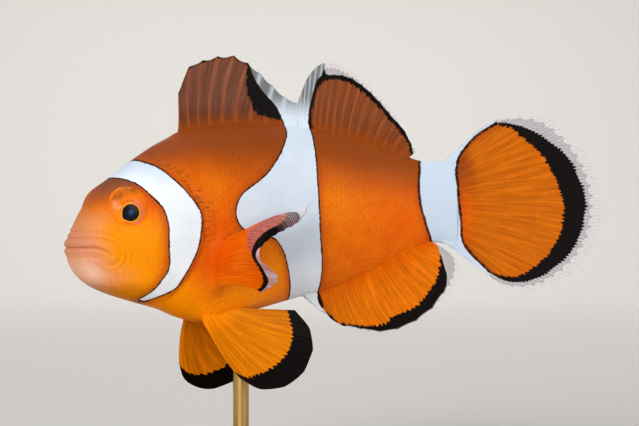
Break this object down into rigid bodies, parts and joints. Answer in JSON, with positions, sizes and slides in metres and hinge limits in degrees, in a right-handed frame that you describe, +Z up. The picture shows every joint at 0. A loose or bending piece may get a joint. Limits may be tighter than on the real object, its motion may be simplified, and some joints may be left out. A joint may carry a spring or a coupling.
{
  "type": "ocellaris clownfish model",
  "caption": "Life-size orange and white clownfish in a swimming pose, bent to its left, held above a round wooden base by a short brass rod.",
  "frame": {"origin": "middle of the bounding box's footprint, on the surface that the base stands on", "axes": "+X runs from the head towards the tail, +Y towards the fish's right side, +Z up"},
  "size_m": [0.0858, 0.042, 0.0666],
  "materials": {
    "skin": "wet-looking scaled fish skin, orange with three white bands edged in black",
    "fin": "thin orange fin with fine rays, a black margin and a clear whitish fringe",
    "eye": "clear glossy eye, orange iris and black pupil",
    "stand_wood": "dark turned hardwood, satin",
    "stand_brass": "polished brass"
  },
  "bodies": {
    "root": {"head": "skin", "lower_jaw": "skin", "gill_cover_left": "skin", "gill_cover_right": "skin", "trunk": "skin", "tail_stalk": "skin", "eye_left": "eye", "eye_right": "eye", "dorsal_fin_spiny": "fin", "dorsal_fin_soft": "fin", "anal_fin": "fin", "tail_fin": "fin", "pectoral_fin_left": "fin", "pectoral_fin_right": "fin", "pelvic_fin_left": "fin", "pelvic_fin_right": "fin", "stand_base": "stand_wood", "stand_rod": "stand_brass", "stand_collar": "stand_brass"}
  },
  "joints": []
}
